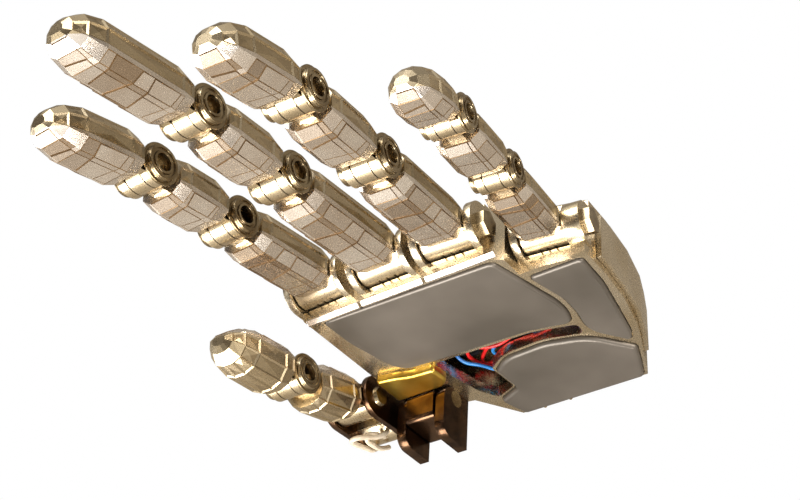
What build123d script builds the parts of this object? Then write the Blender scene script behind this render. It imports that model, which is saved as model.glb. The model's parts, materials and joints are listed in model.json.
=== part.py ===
from build123d import *
import math
import os

os.makedirs("parts", exist_ok=True)

# A motor-driven left hand. +Z runs from the wrist to the fingertips, the palm faces -Y and
# the thumb side is -X. The origin is the centre of the wrist's bolt pattern, on its face.
# All sizes are in millimetres and all angles in degrees.

# ---------------------------------------------------------------- driving dimensions
palm_front = -7.4            # y of the palm frame's front face
palm_back = 8.0              # y of the palm frame's open back
palm_wall = 2.4
knuckle_line = 71.5          # z of the palm's edge below the three long fingers
little_line = 59.3           # z of the palm's edge below the little finger
step_x = 15.2                # where the palm's edge steps down to the little finger
radial_x = -42.8
ulnar_x = 37.6

# Each finger: knuckle axis centre, sideways lean, bends at rest of its three joints,
# lengths of its three phalanges, the size factor of its castings, the thickness of the
# palm's cheek on its little-finger side and where its motor stands in the palm.
FINGERS = {
    "index": {"knuckle": (-35.1, 0.0, knuckle_line + 1.9), "splay": -2.4, "bends": (5.9, 0.2, 7.4),
              "lengths": (38.2, 29.1, 33.0), "size": 1.0, "outer_cheek": 1.9, "motor_x": -35.1},
    "middle": {"knuckle": (-13.7, -0.8, knuckle_line + 2.5), "splay": -0.3, "bends": (4.6, 0.3, 5.8),
               "lengths": (44.6, 31.4, 42.3), "size": 1.0, "outer_cheek": 1.9, "motor_x": -13.7},
    "ring": {"knuckle": (6.2, 0.0, knuckle_line + 1.9), "splay": 4.0, "bends": (7.0, 0.2, 10.3),
             "lengths": (39.4, 31.2, 32.6), "size": 1.0, "outer_cheek": 2.1, "motor_x": 6.2},
    "little": {"knuckle": (27.3, 0.8, little_line + 1.3), "splay": 7.5, "bends": (6.8, 0.8, 10.0),
               "lengths": (30.7, 26.1, 22.3), "size": 0.87, "outer_cheek": 4.6, "motor_x": 25.4},
}

finger_half_width = 7.0
finger_palmar = 5.5          # hinge axis to the finger's palmar face
finger_dorsal = 7.5          # hinge axis to the finger's back
pad_parting = 1.6            # the pad meets the shell this far palmar of the axis
shell_wall = 1.6
end_wall = 2.0
joint_gap = 6.1              # hinge axis to the end of each phalanx's casing
knuckle_gap = 3.4            # knuckle axis to the foot of the proximal casing
tip_taper = 9.0              # length over which a fingertip closes

lug_radius = 5.0
tongue_half = 2.3
lug_inner = 2.6
lug_outer = 4.9
neck_half = 3.2
axle_radius = 3.0
axle_bore = 2.35
running_clearance = 0.05     # radial, between an axle and the lug that turns on it
flange_radius = 5.7
flange_thickness = 0.7
ring_radius = 4.8
race_outer = 4.6
race_inner = 3.8
boss_face = finger_half_width    # outer face of the bearing boss, from the finger's middle
cap_radius = 4.0

barrel_radius = 5.2
barrel_half = finger_half_width - 0.1
barrel_groove = 0.5
groove_half = 0.3
knuckle_pin_radius = 2.5
well_side_clearance = 0.4
well_clearance = 0.45
cheek_thickness = 1.9
cheek_radius = 6.6
edge_drop = 1.9              # knuckle axis down to the palm's edge in front of it
bolt_head_across = 6.4
bolt_head_height = 2.2

block_depth = 9.5            # height of the solid knuckle block
cover_thickness = 1.8
cover_bevel = 2.4            # narrow enough to leave the screw holes whole
cover_rise = 4.2             # how far the back cover stands behind the frame
side_cover_thickness = 1.4
pad_thickness = 1.7
heel_thickness = 2.2
pad_inset = 0.25             # gap between a pad and the rim round it
rim_height = 0.9
gentle_turn = 50.0           # an outline turning less than this runs on in a long arc
gentle_radius = 16.0

wrist_spacing_x = 26.0
wrist_spacing_y = 9.0
wrist_hole_radius = 1.25
wrist_boss_radius = 2.6
wrist_boss_height = 6.0
wrist_plate_height = 1.6
wrist_passage = 3.2
contact_pin_radius = 0.6
contact_pin_reach = 2.0       # how far a contact pin stands out of the wrist face
cover_screw_radius = 0.9
cover_screw_length = 4.0

motor_radius = 4.6
motor_length = 15.0
gearbox_length = 8.5
gearbox_width = 9.6
output_shaft_radius = 1.5
output_shaft_length = 2.0
motor_y = 2.2

THUMB_MCP = (radial_x - 9.4, -11.4, 34.2)
thumb_tilt = 15.1
thumb_bend = 7.5
thumb_lengths = (30.7, 29.5)
THUMB_CMC = (radial_x + 8.0, -10.8, 21.0)
ear_thickness = 3.0
ear_gap = 10.0
ear_reach = 13.7             # axle to the ear's rounded palmar end
ear_half = 6.0
cmc_pin_radius = 2.5
plate_thickness = 1.8
plate_half = 6.4
plate_inner = 5.9            # thumb's middle to the inner face of each bracket plate
thumb_bolt_head = 3.0

thumb_barrel_half = 5.5
ear_back = 2.5               # axle to the ears' foot on the palm's rim
ear_rounding = 4.0
ear_foot = 1.2
gearbox_depth = 9.0
gearbox_shift = 3.3
bolt_dome = 1.0
strip_rise = 0.9
board_gap = 0.4
board_thickness = 1.2
CONNECTORS = [(-11.0, 29.0), (0.0, 29.0), (12.0, 28.0), (-10.0, 14.0), (4.0, 13.0)]

wire_radius = 0.55
cable_radius = 0.75

# Section of a phalanx: shares of the half width, and of the palmar or dorsal height.
SECTION = ((0.60, -1.0), (1.0, -0.55), (1.0, 0.35), (0.70, 0.82), (0.26, 1.0))


# ---------------------------------------------------------------- shared geometry
def finger_seats(finger):
    """The three hinges of a finger: x along the hinge, y to the back, z along the phalanx."""
    bends = finger["bends"]
    lengths = finger["lengths"]
    root = Location(finger["knuckle"]) * Rot(0, finger["splay"], 0)
    proximal = root * Rot(bends[0], 0, 0)
    middle = proximal * Pos(0, 0, lengths[0]) * Rot(bends[1], 0, 0)
    distal = middle * Pos(0, 0, lengths[1]) * Rot(bends[2], 0, 0)
    return root, proximal, middle, distal


def across(seat):
    """Plane square to the phalanx: x along the hinge, y to the back."""
    return Plane(seat)


def along(seat):
    """Plane square to the hinge: x to the back, y along the phalanx."""
    frame = Plane(seat)
    return Plane(origin=frame.origin, x_dir=frame.y_dir, z_dir=frame.x_dir)


def parting(seat, size):
    """Plane where pad and shell meet, facing the back of the finger."""
    frame = Plane(seat)
    level = Plane(origin=frame.origin, x_dir=frame.x_dir, z_dir=frame.y_dir)
    return level.offset(-pad_parting * size)


def section_points(half_width, palmar, dorsal):
    """Ten corners of a phalanx's faceted section."""
    side = []
    for width_share, height_share in SECTION:
        height = palmar if height_share < 0 else dorsal
        side.append((half_width * width_share, height * height_share))
    other = [(-x, y) for x, y in reversed(side)]
    return side + other


def faceted_form(seat, stations):
    """Closed form through stations of (height, half width, palmar, dorsal)."""
    base = across(seat)
    with BuildPart() as form:
        for height, half_width, palmar, dorsal in stations:
            with BuildSketch(base.offset(height)):
                Polygon(*section_points(half_width, palmar, dorsal), align=None)
        loft(ruled=True)
    return form.part


def hollow(stations):
    """Stations of the space inside a casing, one wall in from its stations."""
    first = stations[0][0] + end_wall
    last = stations[-1][0] - end_wall
    inner = [s for s in stations if first < s[0] < last]
    inner = [(first, *stations[0][1:])] + inner + [(last, *stations[-1][1:])]
    return [(h, w - shell_wall, p - shell_wall, d - shell_wall) for h, w, p, d in inner]


def straight_stations(foot, length, size):
    """A proximal or middle phalanx: a short bevel at each end of a prism."""
    width = finger_half_width * size
    palmar = finger_palmar * size
    dorsal = finger_dorsal * size
    bevel = 3.6 * size
    top = length - joint_gap * size
    return [
        (foot, width * 0.93, palmar * 0.73, dorsal * 0.82),
        (foot + bevel, width, palmar, dorsal),
        (top - bevel, width, palmar, dorsal * 0.97),
        (top, width * 0.93, palmar * 0.80, dorsal * 0.86),
    ]


def tip_stations(foot, length, size):
    """A distal phalanx, which closes to a blunt faceted tip."""
    width = finger_half_width * size
    palmar = finger_palmar * size
    dorsal = finger_dorsal * size
    bevel = 3.6 * size
    taper = tip_taper * size
    return [
        (foot, width * 0.93, palmar * 0.76, dorsal * 0.84),
        (foot + bevel, width, palmar, dorsal),
        (length - taper, width * 0.97, palmar * 0.92, dorsal * 0.96),
        (length - taper * 0.45, width * 0.84, palmar * 0.66, dorsal * 0.78),
        (length - taper * 0.12, width * 0.56, palmar * 0.34, dorsal * 0.48),
        (length, width * 0.30, palmar * 0.12, dorsal * 0.24),
    ]


def shell(seat, stations, size, lugs, tongue_at, lug_bore, barrel=0.0):
    """Back half of a phalanx, with lugs or a barrel at its foot and a tongue at its head.

    lugs is "pair" for two lugs or "barrel" for a knuckle barrel of half length barrel,
    tongue_at is the next hinge's height or None, and lug_bore the bore at the foot.
    """
    hinge = along(seat)
    foot = stations[0][0]
    with BuildPart() as casing:
        add(faceted_form(seat, stations))
        split(bisect_by=parting(seat, size), keep=Keep.TOP)
        add(faceted_form(seat, hollow(stations)), mode=Mode.SUBTRACT)
        if lugs == "pair":
            spans = ((lug_inner, lug_outer), (-lug_outer, -lug_inner))
            radius = lug_radius * size
        else:
            spans = ((-barrel, barrel),)
            radius = barrel_radius * size
        for low, high in spans:
            with BuildSketch(hinge.offset(low * size)):
                Circle(radius)
                with Locations((0, foot / 2)):
                    Rectangle(2 * neck_half * size, foot)
            extrude(amount=(high - low) * size)
        if tongue_at is not None:
            head = stations[-1][0]
            with BuildSketch(hinge.offset(-tongue_half * size)):
                with Locations((0, tongue_at)):
                    Circle(lug_radius * size)
                with Locations((0, (tongue_at + head) / 2)):
                    Rectangle(2 * neck_half * size, tongue_at - head)
            extrude(amount=2 * tongue_half * size)
            with BuildSketch(hinge.offset(-boss_face)):
                with Locations((0, tongue_at)):
                    Circle(axle_radius * size + TONGUE_CLEARANCE[lugs])
            extrude(amount=2 * boss_face, mode=Mode.SUBTRACT)
        with BuildSketch(hinge.offset(-boss_face)):
            Circle(lug_bore)
        extrude(amount=2 * boss_face, mode=Mode.SUBTRACT)
        if lugs == "barrel":
            for groove in (-0.36, 0.0, 0.36):
                with BuildSketch(hinge.offset((groove * barrel - groove_half) * size)):
                    Circle(radius + 1.0)
                    Circle(radius - barrel_groove, mode=Mode.SUBTRACT)
                    with Locations((0, radius)):
                        Rectangle(4 * radius, 2 * radius, mode=Mode.SUBTRACT)
                extrude(amount=2 * groove_half * size, mode=Mode.SUBTRACT)
    return casing.part


# A proximal phalanx's tongue turns on the middle phalanx's axle; a middle phalanx's
# tongue holds its own axle.
TONGUE_CLEARANCE = {"barrel": running_clearance, "pair": 0.0}


def pad(seat, stations, size, foot_radius):
    """Palmar half of a phalanx, a thin hollow pad that closes the shell."""
    with BuildPart() as cover:
        add(faceted_form(seat, stations))
        split(bisect_by=parting(seat, size), keep=Keep.BOTTOM)
        add(faceted_form(seat, hollow(stations)), mode=Mode.SUBTRACT)
        with BuildSketch(along(seat).offset(-boss_face - 1)):
            Circle(foot_radius)
        extrude(amount=2 * boss_face + 2, mode=Mode.SUBTRACT)
    return cover.part


def axle(seat, size, side):
    """Hollow axle with a stepped bearing boss on one side and a plain cap on the other."""
    hinge = along(seat)
    flange_at = lug_outer + 0.3
    steps = (
        (-boss_face + 0.2, -flange_at, cap_radius),
        (-flange_at, flange_at, axle_radius),
        (flange_at, flange_at + flange_thickness, flange_radius),
        (flange_at + flange_thickness, boss_face - 0.4, ring_radius),
        (boss_face - 0.4, boss_face, race_outer),
    )
    with BuildPart() as spindle:
        for low, high, radius in steps:
            with BuildSketch(hinge.offset(side * low * size)):
                Circle(radius * size)
            extrude(amount=side * (high - low) * size)
        with BuildSketch(hinge.offset(side * (boss_face - 0.4) * size)):
            Circle(race_inner * size)
            Circle((axle_radius + 0.1) * size, mode=Mode.SUBTRACT)
        extrude(amount=side * 0.5 * size, mode=Mode.SUBTRACT)
        with BuildSketch(hinge.offset(-8)):
            Circle(axle_bore * size)
        extrude(amount=16, mode=Mode.SUBTRACT)
    return spindle.part


def save(piece, name):
    """Label a finished piece and write it as its own file."""
    piece.label = name
    export_step(piece, f"parts/{name}.step")


def group(pieces, name):
    """Write several separate solids as one node."""
    save(Compound(children=pieces), name)


# ---------------------------------------------------------------- fingers
for finger_name, finger in FINGERS.items():
    size = finger["size"]
    root, proximal, middle, distal = finger_seats(finger)
    lengths = finger["lengths"]
    casings = {
        "proximal": (proximal, straight_stations(knuckle_gap * size, lengths[0], size),
                     "barrel", lengths[0], knuckle_pin_radius + running_clearance),
        "middle": (middle, straight_stations(joint_gap * size, lengths[1], size),
                   "pair", lengths[1], axle_radius * size),
        "distal": (distal, tip_stations(joint_gap * size, lengths[2], size),
                   "pair", None, axle_radius * size + running_clearance),
    }
    for phalanx, (seat, stations, lugs, tongue_at, bore) in casings.items():
        casing = shell(seat, stations, size, lugs, tongue_at, bore, barrel_half)
        save(casing, f"{finger_name}_{phalanx}_shell")
        save(pad(seat, stations, size, barrel_radius * size), f"{finger_name}_{phalanx}_pad")
    group([axle(middle, size, 1), axle(distal, size, 1)], f"{finger_name}_axles")


# ---------------------------------------------------------------- palm
front = Plane.XZ.offset(-palm_front)
back = Plane.XZ.offset(-palm_back)

# The palm's outline, from the thumb side's top corner round by the little finger.
PALM = [
    (radial_x, knuckle_line), (step_x, knuckle_line), (step_x, knuckle_line - 2.6),
    (step_x + 3.2, knuckle_line - 5.0), (step_x + 3.2, little_line), (ulnar_x, little_line),
    (37.2, 47.0), (36.0, 36.0), (33.4, 24.5), (30.6, 17.0),
    (27.2, 9.0), (24.2, wrist_plate_height), (-16.4, wrist_plate_height), (-24.8, 14.5), (radial_x, 18.0),
]

PIN_SPOTS = [(-2.5, -5.9), (-11.0, -5.9)]
COVER_SCREWS = [(radial_x + 1.2, 56.0), (radial_x + 1.2, 26.0), (36.3, 52.0), (29.2, 16.5)]

# Opening through which the wiring passes to the thumb.
OPENING = [
    (-24.2, 36.3), (7.0, 35.6), (19.6, 32.3), (19.2, 27.9), (7.8, 31.2), (-5.1, 30.4),
    (-11.6, 26.0), (-11.0, 15.4), (-17.6, 12.6), (-20.9, 17.0), (-22.6, 25.6), (-23.6, 30.4),
]

CENTRAL_PAD = [
    (radial_x + 4.4, knuckle_line - 2.5), (step_x + 0.2, knuckle_line - 3.9), (20.9, 45.0),
    (21.0, 39.4), (19.3, 34.2), (7.2, 36.9), (-21.5, 37.7), (radial_x + 11.2, 38.4),
    (radial_x + 8.0, 42.0), (radial_x + 4.9, 56.7),
]
ULNAR_PAD = [
    (19.8, little_line - 1.9), (35.8, little_line - 1.9), (35.2, 45.5), (32.8, 33.0), (30.6, 22.5), (28.9, 18.6),
    (20.9, 28.9), (22.6, 37.8), (22.8, 44.6),
]
HEEL_PAD = [
    (-5.1, 29.3), (7.9, 29.9), (19.7, 26.7), (28.6, 15.8), (26.0, 8.6), (23.4, 2.2),
    (-15.2, 2.2), (-17.8, 11.4), (-10.2, 15.0), (-10.8, 25.0),
]
THENAR = [
    (radial_x + 0.4, 39.4), (radial_x + 7.2, 38.2), (radial_x + 10.8, 36.9), (-24.4, 36.3),
    (-23.8, 30.4), (-26.4, 27.6), (radial_x + 0.4, 27.6),
]


def smooth_face(points, rounding):
    """Face inside the points: sharp corners are rounded, gentle turns become long arcs."""
    stops = [Vector(*p) for p in points]
    radii = []
    for before, here, after in zip(stops[-1:] + stops, stops, stops[1:] + stops[:1]):
        turn = (here - before).get_angle(after - here)
        run = min((here - before).length, (after - here).length)
        longest = 0.45 * run / math.tan(math.radians(turn / 2))
        radii.append(min(longest, gentle_radius if turn < gentle_turn else rounding))
    with BuildSketch() as face:
        with BuildLine():
            FilletPolyline(*points, radius=radii, close=True)
        make_face()
    return face.sketch


def flat_piece(points, plane, thickness, rounding, edge):
    """Plate of a smooth outline, whose outer edges are rounded too."""
    with BuildPart() as plate:
        with BuildSketch(plane):
            add(smooth_face(points, rounding))
        extrude(amount=thickness)
        fillet(plate.faces().sort_by(Axis.Y)[0].edges(), radius=edge)
    return plate.part


def knuckle_spot(finger):
    """Hinge plane of a knuckle in the palm, with no bend."""
    return along(finger_seats(finger)[0])


floor_top = wrist_plate_height + palm_wall
with BuildPart() as palm_frame:
    with BuildSketch(front):
        Polygon(*PALM, align=None)
    extrude(amount=-(palm_back - palm_front))
    with BuildSketch(front.offset(-palm_wall)) as space:
        Polygon(
            (radial_x + palm_wall, knuckle_line - block_depth),
            (step_x + 0.8, knuckle_line - block_depth),
            (step_x + 5.6, little_line - block_depth),
            (ulnar_x - palm_wall, little_line - block_depth),
            (33.4, 36.0), (30.8, 24.5), (28.0, 17.0), (24.6, 9.0), (22.4, floor_top),
            (-15.2, floor_top), (-23.2, 17.0), (radial_x + palm_wall, 20.4), align=None)
    extrude(amount=-(palm_back - palm_front), mode=Mode.SUBTRACT)
    with BuildSketch(front):
        add(smooth_face(OPENING, 1.4))
    extrude(amount=-palm_wall - 1, mode=Mode.SUBTRACT)
    # Rim round the pads.
    with BuildSketch(front):
        Polygon(*PALM, align=None)
        add(smooth_face(OPENING, 1.4), mode=Mode.SUBTRACT)
        for outline, rounding in ((CENTRAL_PAD, 2.2), (ULNAR_PAD, 1.4), (HEEL_PAD, 1.6)):
            seat = offset(smooth_face(outline, rounding), pad_inset, mode=Mode.PRIVATE)
            add(seat, mode=Mode.SUBTRACT)
    extrude(amount=rim_height)
    # Cheeks that hold the knuckle pins, and the wells that the knuckles turn in.
    for finger in FINGERS.values():
        size = finger["size"]
        reach = barrel_half * size + well_side_clearance
        hinge = knuckle_spot(finger)
        with BuildSketch(hinge.offset(-reach - cheek_thickness)):
            Circle(cheek_radius * size)
            with Locations((0, -cheek_radius * size / 2)):
                Rectangle(2 * cheek_radius * size, cheek_radius * size)
        extrude(amount=2 * reach + cheek_thickness + finger["outer_cheek"])
    for finger in FINGERS.values():
        size = finger["size"]
        reach = barrel_half * size + well_side_clearance
        hinge = knuckle_spot(finger)
        radius = barrel_radius * size + well_clearance
        with BuildSketch(hinge.offset(-reach)):
            Circle(radius)
            with Locations((0, 15)):
                Rectangle(60, 30)
            with Locations((-15, 15 - edge_drop * size)):
                Rectangle(30, 30)
        extrude(amount=2 * reach, mode=Mode.SUBTRACT)
        with BuildSketch(hinge.offset(-reach - cheek_thickness)):
            Circle(knuckle_pin_radius)
        extrude(amount=2 * reach + cheek_thickness + finger["outer_cheek"], mode=Mode.SUBTRACT)
    # Bosses and tapped holes of the wrist joint, and the passage for its contacts.
    with BuildSketch(Plane.XY.offset(wrist_plate_height)):
        with GridLocations(wrist_spacing_x, wrist_spacing_y, 2, 2):
            Circle(wrist_boss_radius)
    extrude(amount=wrist_boss_height)
    with BuildSketch(Plane.XY):
        with GridLocations(wrist_spacing_x, wrist_spacing_y, 2, 2):
            Circle(wrist_hole_radius)
        Circle(wrist_passage)
    extrude(amount=wrist_plate_height + wrist_boss_height, mode=Mode.SUBTRACT)
    with BuildSketch(Plane.XY.offset(wrist_plate_height)):
        with Locations(*PIN_SPOTS):
            Circle(contact_pin_radius)
    extrude(amount=palm_wall, mode=Mode.SUBTRACT)
    for x, z in COVER_SCREWS:
        with BuildSketch(back):
            with Locations((x, z)):
                Circle(cover_screw_radius)
        extrude(amount=cover_screw_length, mode=Mode.SUBTRACT)
save(palm_frame.part, "palm_frame")

# Three sloping strips between the palm's edge and the central pad.
STRIP_ENDS = [(radial_x + 0.6, -25.0), (-24.0, -4.3), (-3.3, 18.0)]
strips = []
for start, end in STRIP_ENDS:
    with BuildPart() as strip:
        with BuildSketch(Plane.YZ.offset(start)):
            Polygon(
                (palm_front - rim_height, knuckle_line - 0.3),
                (palm_front - rim_height - strip_rise, knuckle_line - 1.4),
                (palm_front - rim_height - strip_rise, knuckle_line - 2.1),
                (palm_front - rim_height, knuckle_line - 2.3), align=None)
        extrude(amount=end - start)
    strips.append(strip.part)
group(strips, "knuckle_strips")

save(flat_piece(CENTRAL_PAD, front, pad_thickness, 2.2, 0.9), "central_pad")
save(flat_piece(ULNAR_PAD, front, pad_thickness, 1.4, 0.9), "ulnar_pad")
save(flat_piece(HEEL_PAD, front, heel_thickness, 1.6, 1.2), "heel_pad")
rim_face = front.offset(rim_height)
save(flat_piece(THENAR, rim_face, 2.2, 1.2, 1.0), "thenar_fairing")

with BuildPart() as back_cover:
    with BuildSketch(back):
        Polygon(
            (radial_x, knuckle_line - 3.5), (step_x - 1.0, knuckle_line - 3.5),
            (step_x + 6.8, little_line + 1.2), (ulnar_x, little_line - 2.5), *PALM[6:],
            align=None)
    extrude(amount=-cover_rise)
    chamfer(back_cover.faces().sort_by(Axis.Y)[-1].edges(), length=cover_bevel)
    with BuildSketch(back):
        Polygon(
            (radial_x + 5.2, knuckle_line - 9.5), (step_x - 4.0, knuckle_line - 9.5),
            (step_x + 3.0, little_line - 8.3), (31.4, little_line - 8.3),
            (31.4, 40.0), (28.4, 25.0), (22.4, 10.0), (19.0, 7.0), (-13.0, 7.0),
            (-20.6, 19.6), (radial_x + 5.2, 23.0), align=None)
    extrude(amount=-(cover_rise - cover_thickness), mode=Mode.SUBTRACT)
    for x, z in COVER_SCREWS:
        with BuildSketch(back):
            with Locations((x, z)):
                Circle(cover_screw_radius)
        extrude(amount=-cover_rise, mode=Mode.SUBTRACT)
save(back_cover.part, "back_cover")

cover_screws = []
for x, z in COVER_SCREWS:
    with BuildPart() as screw:
        with BuildSketch(back.offset(-cover_rise + 2.0)):
            with Locations((x, z)):
                Circle(cover_screw_radius)
        extrude(amount=cover_rise - 2.0 + cover_screw_length)
    cover_screws.append(screw.part)
group(cover_screws, "cover_screws")

with BuildPart() as ulnar_cover:
    edge = [(ulnar_x - 0.1, little_line - 6.5)] + PALM[6:11]
    with BuildSketch(front.offset(-1.2)):
        Polygon(*edge, *[(x + side_cover_thickness, z) for x, z in reversed(edge)], align=None)
    extrude(amount=-(palm_back - palm_front - 2.0))
save(ulnar_cover.part, "ulnar_cover")

# One pin per knuckle; the two at the outer ends of the palm carry a hexagon head.
pins = []
for name, finger in FINGERS.items():
    size = finger["size"]
    reach = barrel_half * size + well_side_clearance
    hinge = knuckle_spot(finger)
    with BuildPart() as pin:
        with BuildSketch(hinge.offset(-reach - cheek_thickness)):
            Circle(knuckle_pin_radius)
        extrude(amount=2 * reach + cheek_thickness + finger["outer_cheek"])
        if name in ("ring", "little"):
            with BuildSketch(hinge.offset(reach + finger["outer_cheek"])):
                RegularPolygon(bolt_head_across / 2, 6, major_radius=False)
            extrude(amount=bolt_head_height)
    pins.append(pin.part)
group(pins, "knuckle_pins")

with BuildPart() as wrist_plate:
    with BuildSketch(Plane.XY):
        with Locations((4.0, 0.3)):
            RectangleRounded(38.4, 14.2, 3.0)
        with GridLocations(wrist_spacing_x, wrist_spacing_y, 2, 2):
            Circle(wrist_hole_radius, mode=Mode.SUBTRACT)
        Circle(wrist_passage, mode=Mode.SUBTRACT)
        with Locations(*PIN_SPOTS):
            Circle(contact_pin_radius, mode=Mode.SUBTRACT)
    extrude(amount=wrist_plate_height)
save(wrist_plate.part, "wrist_plate")

contacts = []
for spot in PIN_SPOTS:
    with BuildPart() as contact:
        with BuildSketch(Plane.XY.offset(-contact_pin_reach)):
            with Locations(spot):
                Circle(contact_pin_radius)
        extrude(amount=contact_pin_reach + floor_top)
        fillet(contact.faces().sort_by(Axis.Z)[0].edges(), radius=contact_pin_radius * 0.6)
    contacts.append(contact.part)
group(contacts, "contact_pins")

# Drives for the four fingers, each a motor under its gearbox and output shaft.
motors = []
for finger in FINGERS.values():
    x = finger["motor_x"]
    line = little_line if x > step_x else knuckle_line
    top = line - block_depth
    with BuildPart() as motor:
        with BuildSketch(Plane.XY.offset(top - gearbox_length)):
            with Locations((x, motor_y)):
                RectangleRounded(gearbox_width, gearbox_width, 1.0)
        extrude(amount=gearbox_length)
        with BuildSketch(Plane.XY.offset(top - gearbox_length - motor_length)):
            with Locations((x, motor_y)):
                Circle(motor_radius)
        extrude(amount=motor_length)
        with BuildSketch(Plane.XY.offset(top - gearbox_length - motor_length)):
            with Locations((x, motor_y)):
                Circle(output_shaft_radius)
        extrude(amount=-output_shaft_length)
    motors.append(motor.part)
group(motors, "finger_motors")

with BuildPart() as control_board:
    with BuildSketch(back.offset(board_gap)):
        with Locations((2.0, 21.2)):
            RectangleRounded(37.0, 26.0, 1.5)
    extrude(amount=board_thickness)
save(control_board.part, "control_board")

board_face = back.offset(board_gap + board_thickness)
connectors = []
for x, z in CONNECTORS:
    with BuildPart() as connector:
        with BuildSketch(board_face):
            with Locations((x, z)):
                Rectangle(6.0, 3.2)
        extrude(amount=2.4)
    connectors.append(connector.part)
group(connectors, "board_connectors")


# ---------------------------------------------------------------- thumb
thumb_root = Location(THUMB_MCP) * Rot(thumb_tilt, 0, 0) * Rot(0, 0, 180)
thumb_middle = thumb_root * Pos(0, 0, thumb_lengths[0]) * Rot(thumb_bend, 0, 0)
thumb_foot = plate_half + 0.5
cmc_hinge = Plane(origin=THUMB_CMC, x_dir=(0, -1, 0), z_dir=(1, 0, 0))

proximal_stations = straight_stations(thumb_foot, thumb_lengths[0], 1.0)
save(shell(thumb_root, proximal_stations, 1.0, "barrel", thumb_lengths[0],
           knuckle_pin_radius + running_clearance, thumb_barrel_half), "thumb_proximal_shell")
save(pad(thumb_root, proximal_stations, 1.0, barrel_radius), "thumb_proximal_pad")
distal_stations = tip_stations(joint_gap, thumb_lengths[1], 1.0)
save(shell(thumb_middle, distal_stations, 1.0, "pair", None, axle_radius), "thumb_distal_shell")
save(pad(thumb_middle, distal_stations, 1.0, barrel_radius), "thumb_distal_pad")
save(axle(thumb_middle, 1.0, -1), "thumb_axle")

# The base: two ears on a foot, fixed to the front of the palm.
ear_span = ear_gap / 2 + ear_thickness
with BuildPart() as thumb_base:
    for start in (-ear_span, ear_gap / 2):
        with BuildSketch(cmc_hinge.offset(start)) as ear:
            with Locations(((ear_reach - ear_back) / 2, 0)):
                Rectangle(ear_reach + ear_back, 2 * ear_half)
            fillet(ear.vertices().sort_by(Axis.Y)[:2], radius=ear_rounding)
        extrude(amount=ear_thickness)
    with BuildSketch(cmc_hinge.offset(-ear_gap / 2)):
        with Locations((-ear_back + ear_foot / 2, 0)):
            Rectangle(ear_foot, 2 * ear_half)
    extrude(amount=ear_gap)
    with BuildSketch(cmc_hinge.offset(-ear_span)):
        Circle(cmc_pin_radius + running_clearance)
    extrude(amount=2 * ear_span, mode=Mode.SUBTRACT)
save(thumb_base.part, "thumb_base")

with BuildPart() as thumb_gearbox:
    with BuildSketch(cmc_hinge.offset(-ear_gap / 2 + 0.4)):
        with Locations((gearbox_shift, 0)):
            RectangleRounded(gearbox_depth, 2 * ear_half + 1.4, 1.6)
        Circle(cmc_pin_radius + running_clearance, mode=Mode.SUBTRACT)
    extrude(amount=ear_gap - 0.8)
save(thumb_gearbox.part, "thumb_gearbox")

# The metacarpal's core lies between two bracket plates, outboard of the ears.
plate_hinge = along(thumb_root)
core_hinge = plate_hinge.offset(-plate_inner)
cmc_here = core_hinge.to_local_coords(Vector(THUMB_MCP[0], THUMB_CMC[1], THUMB_CMC[2]))
cmc_spot = (cmc_here.X, cmc_here.Y)
with BuildPart() as thumb_metacarpal:
    with BuildSketch(core_hinge):
        with Locations(cmc_spot):
            Circle(plate_half - 0.6)
        with Locations((0, (cmc_spot[1] - thumb_foot) / 2)):
            Rectangle(2 * plate_half - 2.4, -thumb_foot - cmc_spot[1])
        with Locations(cmc_spot):
            Circle(cmc_pin_radius, mode=Mode.SUBTRACT)
    extrude(amount=2 * plate_inner)
save(thumb_metacarpal.part, "thumb_metacarpal")

plates = []
for start in (-plate_inner - plate_thickness, plate_inner):
    with BuildPart() as plate:
        with BuildSketch(plate_hinge.offset(start)):
            Circle(plate_half)
            with Locations(cmc_spot):
                Circle(plate_half)
            make_hull()
            Circle(knuckle_pin_radius, mode=Mode.SUBTRACT)
            with Locations(cmc_spot):
                Circle(cmc_pin_radius, mode=Mode.SUBTRACT)
        extrude(amount=plate_thickness)
    plates.append(plate.part)
group(plates, "thumb_side_plates")

# The knuckle bolt, domed at both ends, and the pin that the whole thumb swings on.
with BuildPart() as thumb_bolt:
    outer = plate_inner + plate_thickness
    with BuildSketch(plate_hinge.offset(-outer)):
        Circle(knuckle_pin_radius)
    extrude(amount=2 * outer)
    for side in (-1, 1):
        with BuildSketch(plate_hinge.offset(side * outer)):
            Circle(thumb_bolt_head)
        extrude(amount=side * bolt_dome, taper=30)
save(thumb_bolt.part, "thumb_bolt")

with BuildPart() as thumb_pin:
    far_face = THUMB_MCP[0] - plate_inner - plate_thickness
    with BuildSketch(Plane.YZ.offset(far_face)):
        with Locations((THUMB_CMC[1], THUMB_CMC[2])):
            Circle(cmc_pin_radius)
    extrude(amount=THUMB_CMC[0] + ear_span - far_face)
save(thumb_pin.part, "thumb_pin")


# ---------------------------------------------------------------- wiring
def cord(points, radius):
    """Wire along straight runs joined by arcs as large as the runs allow."""
    stops = [Vector(*p) for p in points]
    radii = []
    for before, here, after in zip(stops, stops[1:], stops[2:]):
        turn = (here - before).get_angle(after - here)
        run = min((here - before).length, (after - here).length)
        radii.append(0.45 * run / math.tan(math.radians(turn / 2)))
    print("bend radii", [round(r, 1) for r in radii])
    with BuildPart() as wire:
        with BuildLine() as route:
            FilletPolyline(*points, radius=radii)
        start = Plane(origin=points[0], z_dir=stops[1] - stops[0])
        with BuildSketch(start):
            Circle(radius)
        sweep(path=route.wire())
    return wire.part


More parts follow.
